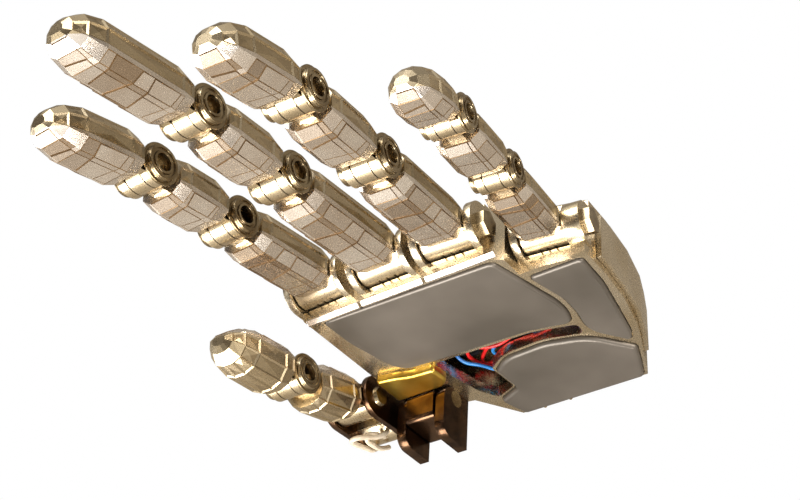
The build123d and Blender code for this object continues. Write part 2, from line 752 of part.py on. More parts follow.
# Routes of the wires, from a motor's end or the frame to a connector on the board.
LOOMS = {
    "loom_red": (wire_radius, [
        [(-15.9, 0.2, 38.5), (-16.4, -2.6, 35.6), (-13.4, -4.1, 31.6), (-7.6, -4.1, 29.4),
         (-1.6, -3.9, 31.4), (4.8, -4.1, 33.6), (10.4, -3.6, 31.8), (13.6, -0.6, 29.6),
         (13.8, 4.0, 28.8)],
        [(-11.2, 0.4, 38.5), (-11.0, -0.8, 35.4), (-14.6, -1.2, 32.4), (-18.8, -2.4, 28.8),
         (-18.6, -2.5, 23.4), (-15.0, -2.7, 19.4), (-11.8, -0.4, 16.2), (-11.6, 4.0, 14.8)],
        [(4.2, 0.4, 38.5), (3.4, -0.6, 35.4), (-1.8, -1.6, 33.6), (-7.4, -1.4, 30.4),
         (-12.8, -1.7, 27.2), (-17.4, -1.5, 22.8), (-19.6, 0.6, 17.6), (-17.6, 3.4, 14.2),
         (-13.0, 4.9, 13.4)],
        [(24.0, 0.6, 24.3), (23.2, -0.6, 21.6), (19.8, -1.7, 21.0), (14.0, -1.4, 24.0),
         (8.4, -1.6, 27.4), (3.0, -0.4, 29.8), (1.6, 4.0, 29.4)],
    ]),
    "loom_blue": (wire_radius, [
        [(-13.2, -1.2, 38.5), (-12.6, -2.9, 35.4), (-8.4, -2.8, 33.2), (-2.4, -2.6, 30.2),
         (3.8, -2.8, 28.8), (9.6, -2.6, 30.8), (12.0, 0.4, 31.2), (10.4, 4.0, 28.8)],
        [(6.8, -1.4, 38.5), (8.0, -2.6, 35.4), (4.4, -1.6, 33.0), (-0.4, -0.4, 31.4),
         (-5.2, -0.3, 29.8), (-9.8, -0.4, 26.6), (-13.6, -0.5, 23.4), (-13.2, 0.6, 19.6),
         (-10.2, 1.6, 17.2), (-9.4, 4.0, 14.6)],
        [(-17.0, 2.4, 38.5), (-19.8, 1.2, 36.0), (-21.4, -1.8, 32.2), (-20.8, -4.0, 27.2),
         (-16.6, -4.1, 23.8), (-14.4, -4.0, 18.8), (-9.6, -2.2, 15.6), (-3.6, 0.6, 14.4),
         (1.0, 4.9, 13.0)],
        [(26.4, 0.0, 24.3), (26.6, -1.6, 20.6), (22.6, -2.8, 17.8), (17.4, -2.9, 20.2),
         (12.0, -2.8, 18.8), (7.2, -0.4, 15.6), (5.4, 4.0, 14.0)],
    ]),
    "loom_violet": (wire_radius, [
        [(2.6, 2.8, 38.5), (0.8, 1.0, 35.8), (4.6, -0.4, 32.6), (10.2, -0.5, 33.6),
         (15.4, -2.4, 32.0), (18.8, -2.6, 29.6), (18.4, 0.4, 26.6), (15.0, 4.9, 27.4)],
        [(-9.8, 2.4, 38.5), (-7.6, 1.0, 35.4), (-2.6, 0.7, 31.6), (-0.8, 2.0, 26.0),
         (1.4, 1.8, 20.4), (1.4, 4.0, 14.2)],
        [(-36.8, 0.8, 38.5), (-36.0, 0.2, 34.6), (-30.6, -0.3, 30.8), (-24.6, -0.4, 28.0),
         (-18.6, -0.3, 30.6), (-13.2, 1.2, 30.4), (-12.4, 4.0, 29.4)],
    ]),
    "loom_cream": (wire_radius + 0.1, [
        [(-38.2, 2.6, 38.5), (-37.4, 1.4, 34.0), (-32.4, 1.2, 28.4), (-26.4, 1.2, 26.6),
         (-21.2, 1.2, 30.2), (-16.4, 0.9, 33.6), (-10.6, 0.9, 32.6), (-9.6, 4.0, 29.8)],
        [(9.4, 0.8, 38.5), (11.0, -1.0, 36.4), (15.0, -1.1, 34.6), (17.2, -0.9, 30.4),
         (13.4, 0.7, 26.4), (7.6, 0.8, 23.4), (5.0, 1.8, 17.6), (3.4, 4.0, 12.6)],
    ]),
    "loom_black": (wire_radius + 0.25, [
        [(-32.8, 3.6, 38.5), (-31.6, 3.2, 33.2), (-26.6, 2.8, 23.4), (-20.4, 2.5, 20.8),
         (-15.2, 2.6, 24.6), (-10.6, 2.4, 24.2), (-6.0, 2.6, 21.4), (-3.4, 3.6, 18.0),
         (-4.0, 4.8, 14.8), (-7.0, 5.2, 14.0)],
        [(25.0, 4.4, 24.3), (22.8, 3.4, 20.4), (17.6, 2.8, 16.8), (11.8, 2.8, 17.8),
         (9.0, 2.9, 23.0), (10.8, 4.0, 27.2)],
    ]),
    "thumb_cables": (cable_radius, [
        [(-55.8, -16.9, 18.6), (-55.6, -19.4, 21.0), (-54.8, -20.8, 25.6), (-54.6, -22.4, 30.6),
         (-53.4, -23.6, 34.6), (-50.8, -23.4, 34.8), (-49.4, -21.6, 31.0), (-49.0, -19.6, 26.6),
         (-48.8, -16.2, 23.8)],
        [(-52.6, -17.2, 17.6), (-52.8, -19.2, 20.4), (-52.4, -20.6, 24.6), (-51.9, -21.3, 29.4),
         (-51.2, -18.5, 29.6), (-51.0, -16.4, 21.8)],
    ]),
}


for name, (radius, routes) in LOOMS.items():
    group([cord(points, radius) for points in routes], name)
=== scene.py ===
"""Looks of a motor-driven left hand: faceted metal fingers, padded palm, exposed wiring."""

import json
import math

import bpy
from mathutils import Euler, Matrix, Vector


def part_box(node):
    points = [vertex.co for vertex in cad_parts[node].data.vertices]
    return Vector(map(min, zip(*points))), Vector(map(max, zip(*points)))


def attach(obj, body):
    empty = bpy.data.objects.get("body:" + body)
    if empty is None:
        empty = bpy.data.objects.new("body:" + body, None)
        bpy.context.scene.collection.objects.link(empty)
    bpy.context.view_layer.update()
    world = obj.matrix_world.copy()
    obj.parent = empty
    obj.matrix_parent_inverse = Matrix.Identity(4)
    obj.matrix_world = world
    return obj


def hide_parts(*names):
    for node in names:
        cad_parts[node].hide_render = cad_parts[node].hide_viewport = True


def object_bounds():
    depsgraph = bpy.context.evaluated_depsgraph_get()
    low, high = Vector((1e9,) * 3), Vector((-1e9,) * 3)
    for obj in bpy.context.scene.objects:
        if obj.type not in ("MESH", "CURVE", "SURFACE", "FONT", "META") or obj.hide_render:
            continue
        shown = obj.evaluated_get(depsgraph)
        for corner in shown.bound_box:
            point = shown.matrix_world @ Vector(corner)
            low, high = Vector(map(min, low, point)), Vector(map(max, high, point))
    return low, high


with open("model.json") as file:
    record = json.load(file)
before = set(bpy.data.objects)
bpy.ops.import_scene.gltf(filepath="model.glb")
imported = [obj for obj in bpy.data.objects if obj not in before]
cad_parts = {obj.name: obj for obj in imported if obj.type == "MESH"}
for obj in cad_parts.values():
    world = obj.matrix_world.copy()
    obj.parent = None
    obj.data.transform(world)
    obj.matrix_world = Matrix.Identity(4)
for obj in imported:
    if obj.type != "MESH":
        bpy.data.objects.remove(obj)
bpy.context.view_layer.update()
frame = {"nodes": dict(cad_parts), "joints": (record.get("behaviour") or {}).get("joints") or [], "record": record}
RECORD = frame["record"]
JOINTS = {joint["name"]: joint for joint in frame["joints"]}
MM = 0.001

# ---------------------------------------------------------------- wiring
# Each wire: its length, then the places it passes, from a drive or the frame to a socket.
LOOMS = {
    "loom_red": (0.0011, (
        (0.0429, ((-0.0159, 0.0002, 0.0385), (-0.0164, -0.0026, 0.0356), (-0.0134, -0.0041, 0.0316),
                  (-0.0076, -0.0041, 0.0294), (-0.0016, -0.0039, 0.0314), (0.0048, -0.0041, 0.0336),
                  (0.0104, -0.0036, 0.0318), (0.0136, -0.0006, 0.0296), (0.0138, 0.0040, 0.0288))),
        (0.0330, ((-0.0112, 0.0004, 0.0385), (-0.0110, -0.0008, 0.0354), (-0.0146, -0.0012, 0.0324),
                  (-0.0188, -0.0024, 0.0288), (-0.0186, -0.0025, 0.0234), (-0.0150, -0.0027, 0.0194),
                  (-0.0118, -0.0004, 0.0162), (-0.0116, 0.0040, 0.0148))),
        (0.0429, ((0.0042, 0.0004, 0.0385), (0.0034, -0.0006, 0.0354), (-0.0018, -0.0016, 0.0336),
                  (-0.0074, -0.0014, 0.0304), (-0.0128, -0.0017, 0.0272), (-0.0174, -0.0015, 0.0228),
                  (-0.0196, 0.0006, 0.0176), (-0.0176, 0.0034, 0.0142), (-0.0130, 0.0049, 0.0134))),
        (0.0296, ((0.0240, 0.0006, 0.0243), (0.0232, -0.0006, 0.0216), (0.0198, -0.0017, 0.0210),
                  (0.0140, -0.0014, 0.0240), (0.0084, -0.0016, 0.0274), (0.0030, -0.0004, 0.0298),
                  (0.0016, 0.0040, 0.0294))),
    )),
    "loom_blue": (0.0011, (
        (0.0349, ((-0.0132, -0.0012, 0.0385), (-0.0126, -0.0029, 0.0354), (-0.0084, -0.0028, 0.0332),
                  (-0.0024, -0.0026, 0.0302), (0.0038, -0.0028, 0.0288), (0.0096, -0.0026, 0.0308),
                  (0.0120, 0.0004, 0.0312), (0.0104, 0.0040, 0.0288))),
        (0.0391, ((0.0068, -0.0014, 0.0385), (0.0080, -0.0026, 0.0354), (0.0044, -0.0016, 0.0330),
                  (-0.0004, -0.0004, 0.0314), (-0.0052, -0.0003, 0.0298), (-0.0098, -0.0004, 0.0266),
                  (-0.0136, -0.0005, 0.0234), (-0.0132, 0.0006, 0.0196), (-0.0102, 0.0016, 0.0172),
                  (-0.0094, 0.0040, 0.0146))),
        (0.0438, ((-0.0170, 0.0024, 0.0385), (-0.0198, 0.0012, 0.0360), (-0.0214, -0.0018, 0.0322),
                  (-0.0208, -0.0040, 0.0272), (-0.0166, -0.0041, 0.0238), (-0.0144, -0.0040, 0.0188),
                  (-0.0096, -0.0022, 0.0156), (-0.0036, 0.0006, 0.0144), (0.0010, 0.0049, 0.0130))),
        (0.0304, ((0.0264, 0.0000, 0.0243), (0.0266, -0.0016, 0.0206), (0.0226, -0.0028, 0.0178),
                  (0.0174, -0.0029, 0.0202), (0.0120, -0.0028, 0.0188), (0.0072, -0.0004, 0.0156),
                  (0.0054, 0.0040, 0.0140))),
    )),
    "loom_violet": (0.0011, (
        (0.0326, ((0.0026, 0.0028, 0.0385), (0.0008, 0.0010, 0.0358), (0.0046, -0.0004, 0.0326),
                  (0.0102, -0.0005, 0.0336), (0.0154, -0.0024, 0.0320), (0.0188, -0.0026, 0.0296),
                  (0.0184, 0.0004, 0.0266), (0.0150, 0.0049, 0.0274))),
        (0.0286, ((-0.0098, 0.0024, 0.0385), (-0.0076, 0.0010, 0.0354), (-0.0026, 0.0007, 0.0316),
                  (-0.0008, 0.0020, 0.0260), (0.0014, 0.0018, 0.0204), (0.0014, 0.0040, 0.0142))),
        (0.0316, ((-0.0368, 0.0008, 0.0385), (-0.0360, 0.0002, 0.0346), (-0.0306, -0.0003, 0.0308),
                  (-0.0246, -0.0004, 0.0280), (-0.0186, -0.0003, 0.0306), (-0.0132, 0.0012, 0.0304),
                  (-0.0124, 0.0040, 0.0294))),
    )),
    "loom_cream": (0.0013, (
        (0.0395, ((-0.0382, 0.0026, 0.0385), (-0.0374, 0.0014, 0.0340), (-0.0324, 0.0012, 0.0284),
                  (-0.0264, 0.0012, 0.0266), (-0.0212, 0.0012, 0.0302), (-0.0164, 0.0009, 0.0336),
                  (-0.0106, 0.0009, 0.0326), (-0.0096, 0.0040, 0.0298))),
        (0.0355, ((0.0094, 0.0008, 0.0385), (0.0110, -0.0010, 0.0364), (0.0150, -0.0011, 0.0346),
                  (0.0172, -0.0009, 0.0304), (0.0134, 0.0007, 0.0264), (0.0076, 0.0008, 0.0234),
                  (0.0050, 0.0018, 0.0176), (0.0034, 0.0040, 0.0126))),
    )),
    "loom_black": (0.0016, (
        (0.0491, ((-0.0328, 0.0036, 0.0385), (-0.0316, 0.0032, 0.0332), (-0.0266, 0.0028, 0.0234),
                  (-0.0204, 0.0025, 0.0208), (-0.0152, 0.0026, 0.0246), (-0.0106, 0.0024, 0.0242),
                  (-0.0060, 0.0026, 0.0214), (-0.0034, 0.0036, 0.0180), (-0.0040, 0.0048, 0.0148),
                  (-0.0070, 0.0052, 0.0140))),
        (0.0264, ((0.0250, 0.0044, 0.0243), (0.0228, 0.0034, 0.0204), (0.0176, 0.0028, 0.0168),
                  (0.0118, 0.0028, 0.0178), (0.0090, 0.0029, 0.0230), (0.0108, 0.0040, 0.0272))),
    )),
    "thumb_cables": (0.0015, (
        (0.0334, ((-0.0558, -0.0169, 0.0186), (-0.0556, -0.0194, 0.0210), (-0.0548, -0.0208, 0.0256),
                  (-0.0546, -0.0224, 0.0306), (-0.0534, -0.0236, 0.0346), (-0.0508, -0.0234, 0.0348),
                  (-0.0494, -0.0216, 0.0310), (-0.0490, -0.0196, 0.0266), (-0.0488, -0.0162, 0.0238))),
        (0.0227, ((-0.0526, -0.0172, 0.0176), (-0.0528, -0.0192, 0.0204), (-0.0524, -0.0206, 0.0246),
                  (-0.0519, -0.0213, 0.0294), (-0.0512, -0.0185, 0.0296), (-0.0510, -0.0164, 0.0218))),
    )),
}


# ---------------------------------------------------------------- tools
def clear_selection():
    """Leave edit mode with nothing selected."""
    if bpy.context.object and bpy.context.object.mode != "OBJECT":
        bpy.ops.object.mode_set(mode="OBJECT")
    bpy.ops.object.select_all(action="DESELECT")


def work_on(piece):
    """Make a piece the only one selected and active."""
    clear_selection()
    piece.select_set(True)
    bpy.context.view_layer.objects.active = piece


WELD = 0.002 * MM             # vertices nearer than this are one
FLATNESS = math.radians(1)    # triangles closer to one plane than this are one face


def merged_copy(node, name):
    """Own copy of a CAD node's mesh, its loose triangles joined into flat faces."""
    mesh = frame["nodes"][node].data.copy()
    mesh.materials.clear()
    piece = bpy.data.objects.new(name, mesh)
    bpy.context.scene.collection.objects.link(piece)
    work_on(piece)
    bpy.ops.object.mode_set(mode="EDIT")
    bpy.ops.mesh.select_all(action="SELECT")
    bpy.ops.mesh.remove_doubles(threshold=WELD)
    bpy.ops.mesh.customdata_custom_splitnormals_clear()
    bpy.ops.mesh.dissolve_limited(angle_limit=FLATNESS)
    bpy.ops.mesh.faces_shade_flat()
    bpy.ops.object.mode_set(mode="OBJECT")
    return piece


def select_faces(piece, wanted):
    """Select the faces of a piece in edit mode for which wanted(face) is true."""
    bpy.ops.object.mode_set(mode="EDIT")
    bpy.ops.mesh.select_mode(type="FACE")
    bpy.ops.mesh.select_all(action="DESELECT")
    bpy.ops.object.mode_set(mode="OBJECT")
    for face in piece.data.polygons:
        face.select = wanted(face)
    bpy.ops.object.mode_set(mode="EDIT")


def wear(piece, body, slot, material, *nodes):
    """Give a finished piece its material and body, and hide the CAD nodes it stands for."""
    clear_selection()
    piece.data.materials.append(material)
    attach(piece, body)
    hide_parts(*nodes)


# ---------------------------------------------------------------- materials
def linear(code):
    """Linear colour from an sRGB hex value."""
    parts = [int(code[i:i + 2], 16) / 255 for i in (1, 3, 5)]
    return [*(p / 12.92 if p <= 0.04045 else ((p + 0.055) / 1.055) ** 2.4 for p in parts), 1.0]


def add(tree, kind, links=(), **settings):
    """Add a node with its settings and its links: (input name, source node, output name)."""
    made = tree.nodes.new(kind)
    for key, value in settings.items():
        if hasattr(made, key):
            setattr(made, key, value)
        else:
            made.inputs[key.replace("_", " ")].default_value = value
    for name, source, output in links:
        tree.links.new(source.outputs[output], made.inputs[name])
    return made


PATCH_EDGES = (0.35, 0.65)    # noise values at which a patch is fully dark and fully light


def finish(name, light, dark, patch_mm, grain_mm, rough, bump_mm,
           facet=None, relief=0.25, **shader):
    """Surface whose colour drifts in patches and whose gloss and relief follow a fine grain.

    A facet colour darkens each face by a value stored on the face: painted shade standing in for the differing
    reflections of tilted facets of one metal.
    """
    material = bpy.data.materials.new(name)
    material.use_nodes = True
    tree = material.node_tree
    body = tree.nodes["Principled BSDF"]
    for key, value in shader.items():
        body.inputs[key.replace("_", " ")].default_value = value
    place = add(tree, "ShaderNodeTexCoord")
    patches = add(tree, "ShaderNodeTexNoise", [("Vector", place, "Object")],
                  Scale=1 / (patch_mm * MM), Detail=3.0)
    grain = add(tree, "ShaderNodeTexNoise", [("Vector", place, "Object")],
                Scale=1 / (grain_mm * MM), Detail=4.0)
    tint = add(tree, "ShaderNodeValToRGB", [("Fac", patches, "Fac")])
    for element, edge, code in zip(tint.color_ramp.elements, PATCH_EDGES, (dark, light)):
        element.position = edge
        element.color = linear(code)
    gloss = add(tree, "ShaderNodeMapRange", [("Value", grain, "Fac")],
                **{"To_Min": rough[0], "To_Max": rough[1]})
    bump = add(tree, "ShaderNodeBump", [("Height", grain, "Fac")],
               Strength=relief, Distance=bump_mm * MM)
    colour = tint.outputs["Color"]
    # Painted shade: each face is mixed towards the facet colour by its stored value.
    if facet:
        painted_facet_shade = add(tree, "ShaderNodeAttribute", attribute_name="painted_facet_shade")
        shade = add(tree, "ShaderNodeMix", data_type="RGBA")
        shade.inputs["B"].default_value = linear(facet)
        tree.links.new(painted_facet_shade.outputs["Fac"], shade.inputs["Factor"])
        tree.links.new(colour, shade.inputs["A"])
        colour = shade.outputs["Result"]
    tree.links.new(colour, body.inputs["Base Color"])
    tree.links.new(gloss.outputs["Result"], body.inputs["Roughness"])
    tree.links.new(bump.outputs["Normal"], body.inputs["Normal"])
    return material


# Anodised aluminium castings, vibratory polished: warm champagne with a soft gloss; the facet colour is painted
# shade on the panels' facets.
ANODISED_SHELL = finish("champagne_anodised_aluminium", "#D3C3A6", "#BFAD8C", 22, 0.5,
                        (0.25, 0.31), 0.01, facet="#8E7A5C", relief=0.02, Metallic=1.0)
# The same alloy with a clear bright dip: pale, almost white facets that mirror the room; the facet colour is
# painted shade on the tiles.
ANODISED_TILE = finish("bright_dipped_aluminium", "#F3EBE2", "#E6DACE", 9, 0.4,
                       (0.24, 0.30), 0.01, facet="#A48C70", relief=0.02, Metallic=1.0)
# Borders between tiles: flat, rougher metal, painted dark as the shade in the grooves between tiles.
GROOVE_SHADOW = finish("painted_groove_shade", "#8A7050", "#6B5439", 6, 0.4,
                       (0.4, 0.5), 0.01, relief=0.02, Metallic=0.8)
# Palm castings and trim, gold anodised and brushed by hand.
GOLD_TRIM = finish("gold_anodised_aluminium", "#DCD0BA", "#CCBB9C", 20, 0.4,
                   (0.24, 0.30), 0.01, relief=0.02, Metallic=1.0)
# The thumb's fairing, anodised a fuller yellow.
YELLOW_TRIM = finish("yellow_anodised_aluminium", "#E0BC58", "#C49A35", 12, 0.4,
                     (0.26, 0.34), 0.01, relief=0.03, Metallic=1.0)
# Bearing and bolt steel, turned and tinted by heat.
BEARING_STEEL = finish("tinted_bearing_steel", "#B0A082", "#857356", 4, 0.3,
                       (0.20, 0.28), 0.01, relief=0.03, Metallic=1.0)
# Blackened bronze, polished over its facets.
DARK_BRONZE = finish("blackened_bronze", "#6E543F", "#3E2C20", 8, 0.4,
                     (0.20, 0.28), 0.01, relief=0.03, Metallic=1.0)
# Nickel-plated motor cans.
NICKEL = finish("nickel_plate", "#C9C8C4", "#A9A8A5", 8, 0.3, (0.18, 0.28), 0.01, Metallic=1.0)
# Gold flash on the wrist contacts.
GOLD_FLASH = finish("gold_flash", "#F0CB66", "#D2A943", 4, 0.3, (0.15, 0.25), 0.01, Metallic=1.0)
# Soft-touch lacquer over moulded polyurethane: even, satin and fine-grained.
SOFT_TOUCH = finish("soft_touch_polyurethane", "#6E675F", "#575149", 30, 0.22,
                    (0.34, 0.46), 0.03, Metallic=0.55, Coat_Weight=0.10, Coat_Roughness=0.35)
# Solder mask and moulded nylon of the board.
SOLDER_MASK = finish("black_solder_mask", "#15201A", "#0C130F", 6, 0.3, (0.35, 0.5), 0.01)
NYLON = finish("moulded_nylon", "#E8E2D4", "#D8D1C0", 5, 0.3, (0.38, 0.5), 0.01)


def insulation(name, light, dark):
    """Extruded PVC insulation: evenly coloured, with a soft sheen."""
    return finish(name, light, dark, 6, 0.4, (0.28, 0.4), 0.01)


WIRE_COLOURS = {
    "loom_red": ("wire_red", insulation("red_pvc", "#D8201C", "#A31212")),
    "loom_blue": ("wire_blue", insulation("blue_pvc", "#3C93D6", "#1E62A8")),
    "loom_violet": ("wire_violet", insulation("violet_pvc", "#5A3CA0", "#3A2370")),
    "loom_cream": ("wire_cream", insulation("cream_pvc", "#E6DBC6", "#CFC0A6")),
    "loom_black": ("wire_black", insulation("black_pvc", "#1B1B1E", "#0E0E10")),
    "thumb_cables": ("wire_cream", insulation("taupe_silicone", "#D9CBB6", "#B7A78F")),
}

SLOT_FINISH = {
    "gold_casting": ANODISED_SHELL, "tile_pad": ANODISED_TILE, "bearing_steel": BEARING_STEEL,
    "palm_skin": SOFT_TOUCH, "dark_plate": DARK_BRONZE, "motor_can": NICKEL,
    "board": SOLDER_MASK, "connector": NYLON, "brass_contact": GOLD_FLASH,
}
# Nodes whose finish differs from their slot's.
NODE_FINISH = {"palm_frame": GOLD_TRIM, "ulnar_cover": GOLD_TRIM, "wrist_plate": GOLD_TRIM,
               "knuckle_strips": ANODISED_TILE, "thenar_fairing": YELLOW_TRIM}

# ---------------------------------------------------------------- camera
CAMERA_PLACE = (0.19372, -0.25042, 0.33437)
CAMERA_TURN = (39.580, 35.547, 3.804)
CAMERA_LENS = 70.99

view = bpy.data.cameras.new("camera")
view.lens = CAMERA_LENS
view.sensor_width = 36.0
view.clip_start = 0.01
view.clip_end = 50.0
camera = bpy.data.objects.new("camera", view)
camera.location = CAMERA_PLACE
camera.rotation_euler = Euler([math.radians(a) for a in CAMERA_TURN], "XYZ")
bpy.context.scene.collection.objects.link(camera)
bpy.context.scene.camera = camera


# ---------------------------------------------------------------- wires
def wire(name, diameter, points, node, body):
    """Insulated wire on one smooth line through its route."""
    line = bpy.data.curves.new(name, "CURVE")
    line.dimensions = "3D"
    line.resolution_u = 8
    line.bevel_depth = diameter / 2
    line.bevel_resolution = 3
    line.use_fill_caps = True
    spline = line.splines.new("NURBS")
    spline.points.add(len(points) - 1)
    for control, place in zip(spline.points, points):
        control.co = (*place, 1.0)
    spline.order_u = 3
    spline.use_endpoint_u = True
    piece = bpy.data.objects.new(name, line)
    bpy.context.scene.collection.objects.link(piece)
    slot, material = WIRE_COLOURS[node]
    wear(piece, body, slot, material, node)


for node, (diameter, routes) in LOOMS.items():
    body = "thumb_metacarpal" if node == "thumb_cables" else "palm"
    for number, (length, points) in enumerate(routes, 1):
        wire(f"{node}_wire_{number}", diameter, points, node, body)


# ---------------------------------------------------------------- finger pads
TILE_PITCH = 6.4 * MM
TILE_GROOVE = 0.15 * MM
TILE_STEP = 0.30 * MM                    # how far a tile's far edge stands over the next
TILE_COLUMNS = (-3.6 * MM, 2.4 * MM)     # the two dividing lines, from the finger's middle
TILE_SIDES = (-5.5 * MM, 5.5 * MM)       # beyond these a facet belongs to the pad's slanting side
LEAST_RISE = 0.1                         # share of the step that a tile's low edge keeps
ROW_LEAN = 9                             # degrees that a row's edge leans, to and fro
PALM_FACING = 0.35                       # least share of a tile's normal that faces out of the pad
TILE_TOP, TILE_BORDER = 0, 1             # material slots of a pad: the tile top, and the border painted dark as groove shade
SMALLEST_TILE = 3.5 * MM * MM            # area under which a sliver stays plain


def pad_directions(piece, hinge):
    """Hinge axis, palmar direction and length direction of a pad, from its broadest face."""
    axis = Vector(hinge["axis"]).normalized()
    root = Vector(hinge["pos_m"])
    flat = [f for f in piece.data.polygons
            if abs(f.normal.dot(axis)) < 0.1 and f.normal.dot(f.center - root) > 0.002]
    palmar = max(flat, key=lambda face: face.area).normal.copy()
    along = axis.cross(palmar).normalized()
    middle = sum((v.co for v in piece.data.vertices), Vector()) / len(piece.data.vertices)
    if along.dot(middle - root) < 0:
        along = -along
    return axis, palmar, along


def shade_of(row, column):
    """How much painted shade a facet gets, from 0 to 1, in an uneven but fixed order."""
    return (0.0, 0.55, 0.12, 0.8, 0.04, 0.3, 0.0, 0.62, 0.2)[(row * 5 + column * 2) % 9]


def tiled_pad(node, hinge, body):
    """Pad whose palmar face is cut into rows of tiles that step over each other like scales."""
    piece = merged_copy(node, f"{node}_tiles")
    axis, palmar, along = pad_directions(piece, hinge)
    root = Vector(hinge["pos_m"])
    reach = [(v.co - root).dot(along) for v in piece.data.vertices]
    start, length = min(reach), max(reach) - min(reach)
    rows = max(2, round(length / TILE_PITCH))
    pitch = length / rows
    work_on(piece)
    bpy.ops.object.mode_set(mode="EDIT")
    for row in range(1, rows):
        lean = math.radians(ROW_LEAN if row % 2 else -ROW_LEAN)
        normal = along * math.cos(lean) + axis * math.sin(lean)
        bpy.ops.mesh.select_all(action="SELECT")
        bpy.ops.mesh.bisect(plane_co=root + along * (start + row * pitch), plane_no=normal)
    for offset in TILE_COLUMNS:
        bpy.ops.mesh.select_all(action="SELECT")
        bpy.ops.mesh.bisect(plane_co=root + axis * offset, plane_no=axis)
    select_faces(piece, lambda face: face.normal.dot(palmar) > PALM_FACING
                 and face.area > SMALLEST_TILE)
    bpy.ops.object.mode_set(mode="OBJECT")
    for face in piece.data.polygons:
        face.material_index = TILE_BORDER if face.select else TILE_TOP
    bpy.ops.object.mode_set(mode="EDIT")
    bpy.ops.mesh.inset(thickness=TILE_GROOVE, depth=0, use_individual=True)
    bpy.ops.object.mode_set(mode="OBJECT")
    # Painted shade: each tile gets a fixed darkening, standing in for the differing reflections of tilted tiles.
    painted_facet_shade = piece.data.attributes.new("painted_facet_shade", "FLOAT", "FACE")
    for face in piece.data.polygons:
        if not face.select:
            continue
        row = int(((face.center - root).dot(along) - start) / pitch)
        offset = (face.center - root).dot(axis)
        column = sum(offset > line for line in (*TILE_COLUMNS, *TILE_SIDES))
        painted_facet_shade.data[face.index].value = shade_of(row, column)
        for index in face.vertices:
            corner = piece.data.vertices[index]
            forward = ((corner.co - root).dot(along) - start - row * pitch) / pitch
            step = TILE_STEP if row else 0.0    # the first row stays low to pass the palm's edge
            corner.co += palmar * step * min(1.0, max(LEAST_RISE, forward))
        face.material_index = TILE_TOP
    wear(piece, body, "tile_pad", ANODISED_TILE, node)
    # The border slot takes the groove material, whose dark colour is painted shade.
    piece.data.materials.append(GROOVE_SHADOW)


FINGERS = ("index", "middle", "ring", "little")
PHALANGES = (("proximal", "knuckle"), ("middle", "middle_joint"), ("distal", "tip_joint"))
for finger in FINGERS:
    for phalanx, hinge in PHALANGES:
        body = f"{finger}_{phalanx}"
        tiled_pad(f"{body}_pad", JOINTS[f"{finger}_{hinge}"], body)
for phalanx, hinge in (("proximal", "thumb_knuckle"), ("distal", "thumb_tip_joint")):
    tiled_pad(f"thumb_{phalanx}_pad", JOINTS[hinge], f"thumb_{phalanx}")

# ---------------------------------------------------------------- finger shells
PANEL_AREA = 9 * MM * MM                 # the least area of a face that gets a sunk panel
PANEL_FRAME = 0.5 * MM
PANEL_DEPTH = -0.3 * MM
PANEL_CREASE = 0.22 * MM                 # rise of a panel's facets over its frame
BREAK_WIDTH = 0.1 * MM


def faceted_shell(node, hinge, body):
    """Casing whose broad outer faces are sunk panels, each creased into facets."""
    piece = merged_copy(node, f"{node}_facets")
    axis = Vector(hinge["axis"]).normalized()
    root = Vector(hinge["pos_m"])
    middle = sum((v.co for v in piece.data.vertices), Vector()) / len(piece.data.vertices)
    run = (middle - root) - axis * (middle - root).dot(axis)
    run.normalize()

    def outer(face):
        arm = face.center - middle
        arm -= run * arm.dot(run)
        return (face.area > PANEL_AREA and face.normal.dot(arm) > 4 * MM
                and abs(face.normal.dot(run)) < 0.75)

    work_on(piece)
    select_faces(piece, outer)
    bpy.ops.mesh.inset(thickness=PANEL_FRAME, depth=PANEL_DEPTH, use_individual=True)
    bpy.ops.mesh.poke(offset=PANEL_CREASE)
    bpy.ops.object.mode_set(mode="OBJECT")
    # Painted shade: each creased facet gets a fixed darkening, standing in for the differing reflections of tilted
    # facets.
    painted_facet_shade = piece.data.attributes.new("painted_facet_shade", "FLOAT", "FACE")
    for face in piece.data.polygons:
        if face.select:
            painted_facet_shade.data[face.index].value = shade_of(face.index, 1) * 0.6
    edges = piece.modifiers.new("broken_edges", "BEVEL")
    edges.width = BREAK_WIDTH
    edges.segments = 1
    edges.limit_method = "ANGLE"
    edges.angle_limit = math.radians(30)
    bpy.ops.object.modifier_apply(modifier=edges.name)
    wear(piece, body, "gold_casting", ANODISED_SHELL, node)


for finger in FINGERS:
    for phalanx, hinge in PHALANGES:
        body = f"{finger}_{phalanx}"
        faceted_shell(f"{body}_shell", JOINTS[f"{finger}_{hinge}"], body)
for phalanx, hinge in (("proximal", "thumb_knuckle"), ("distal", "thumb_tip_joint")):
    faceted_shell(f"thumb_{phalanx}_shell", JOINTS[hinge], f"thumb_{phalanx}")

# ---------------------------------------------------------------- palm pads
CROWN_CELL = 3.5 * MM
CROWN_RISE = 0.55 * MM
CROWN_REACH = 7.0 * MM       # distance from the edge over which the face rises


